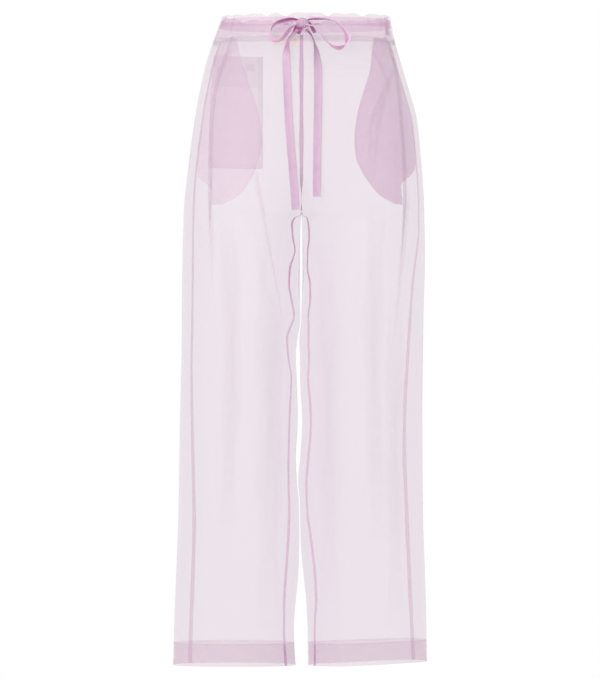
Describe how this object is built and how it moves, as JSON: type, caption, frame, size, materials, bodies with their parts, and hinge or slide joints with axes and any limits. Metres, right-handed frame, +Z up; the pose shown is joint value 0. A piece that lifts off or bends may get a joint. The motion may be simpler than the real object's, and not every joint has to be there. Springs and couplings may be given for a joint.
{
  "type": "drawstring wide-leg trousers",
  "caption": "Sheer wide-leg trousers, filled out and hollow, with a gathered waist casing, a tied ribbon drawstring, inside pocket bags, a back patch pocket and turned-up hems.",
  "frame": {"origin": "middle of the waist opening, half way up the drawstring casing", "axes": "+Z up along the legs' length, -Y out of the front, +X to the wearer's left"},
  "size_m": [0.4059, 0.2563, 1.0376],
  "materials": {
    "organza": "sheer crisp silk organza, soft sheen",
    "ribbon": "soft satin ribbon",
    "label_tape": "matte woven tape, blank"
  },
  "bodies": {
    "root": {"front_right": "organza", "front_left": "organza", "back_right": "organza", "back_left": "organza", "casing_front": "organza", "casing_back": "organza", "hem_right": "organza", "hem_left": "organza", "pocket_bag_right_front": "organza", "pocket_bag_right_back": "organza", "pocket_bag_left_front": "organza", "pocket_bag_left_back": "organza", "back_pocket": "organza", "back_pocket_tab": "organza", "waist_label": "label_tape", "drawstring": "ribbon", "bow_knot": "ribbon", "bow_loop_right": "ribbon", "bow_loop_left": "ribbon", "tail_right": "ribbon", "tail_left": "ribbon"}
  },
  "joints": []
}
